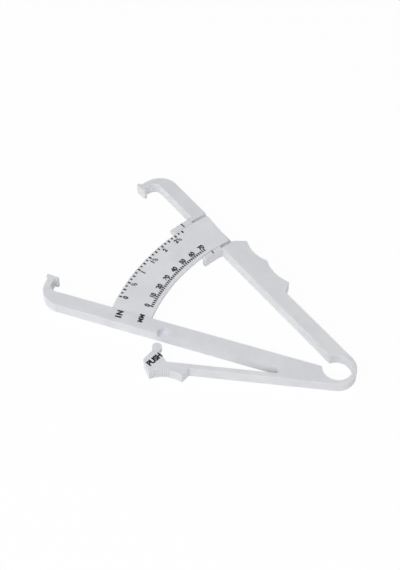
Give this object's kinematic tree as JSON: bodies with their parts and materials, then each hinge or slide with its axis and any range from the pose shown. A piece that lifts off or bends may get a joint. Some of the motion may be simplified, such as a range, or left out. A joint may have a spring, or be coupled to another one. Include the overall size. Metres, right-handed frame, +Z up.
{
  "type": "skinfold caliper",
  "caption": "White moulded skinfold caliper with a spring ring, two jaw arms, a curved scale plate and a click lever.",
  "frame": {"origin": "centre of the ring's bore on the underside", "axes": "+Z up through the ring's bore with the caliper lying flat, +X to the right and +Y to the back; the jaws are at the left"},
  "size_m": [0.1504, 0.1333, 0.0061],
  "materials": {
    "white_abs": "satin",
    "black_print": "matte"
  },
  "bodies": {
    "scale_arm": {"spring_ring": "white_abs", "lower_arm": "white_abs", "fork_block": "white_abs", "lower_jaw": "white_abs", "lower_jaw_pad": "white_abs", "scale_plate": "white_abs", "inch_scale": "black_print", "millimetre_scale": "black_print"},
    "slide_arm": {"handle_arm": "white_abs", "finger_grip": "white_abs", "guide_bed": "white_abs", "inner_guide_rail": "white_abs", "outer_guide_wing": "white_abs", "inner_index_mark": "black_print", "outer_index_mark": "black_print", "upper_jaw_arm": "white_abs", "upper_jaw": "white_abs", "upper_jaw_pad": "white_abs"},
    "click_lever": {"lever_beam": "white_abs", "thumb_pad": "white_abs", "thumb_rest": "white_abs", "click_ball": "white_abs"}
  },
  "joints": [
    {"name": "jaw_closing", "type": "hinge", "parent": "scale_arm", "child": "slide_arm", "pos_m": [0.0016, 0.0012, 0.003], "axis": [0, 0, 1], "range_deg": [0, 28], "stiffness_Nm_per_rad": 1.2, "deforming": ["spring_ring"]},
    {"name": "lever_press", "type": "hinge", "parent": "scale_arm", "child": "click_lever", "pos_m": [-0.02878, -0.0012, 0.003], "axis": [0, 0, 1], "range_deg": [-9.5, 0], "stiffness_Nm_per_rad": 0.25}
  ]
}
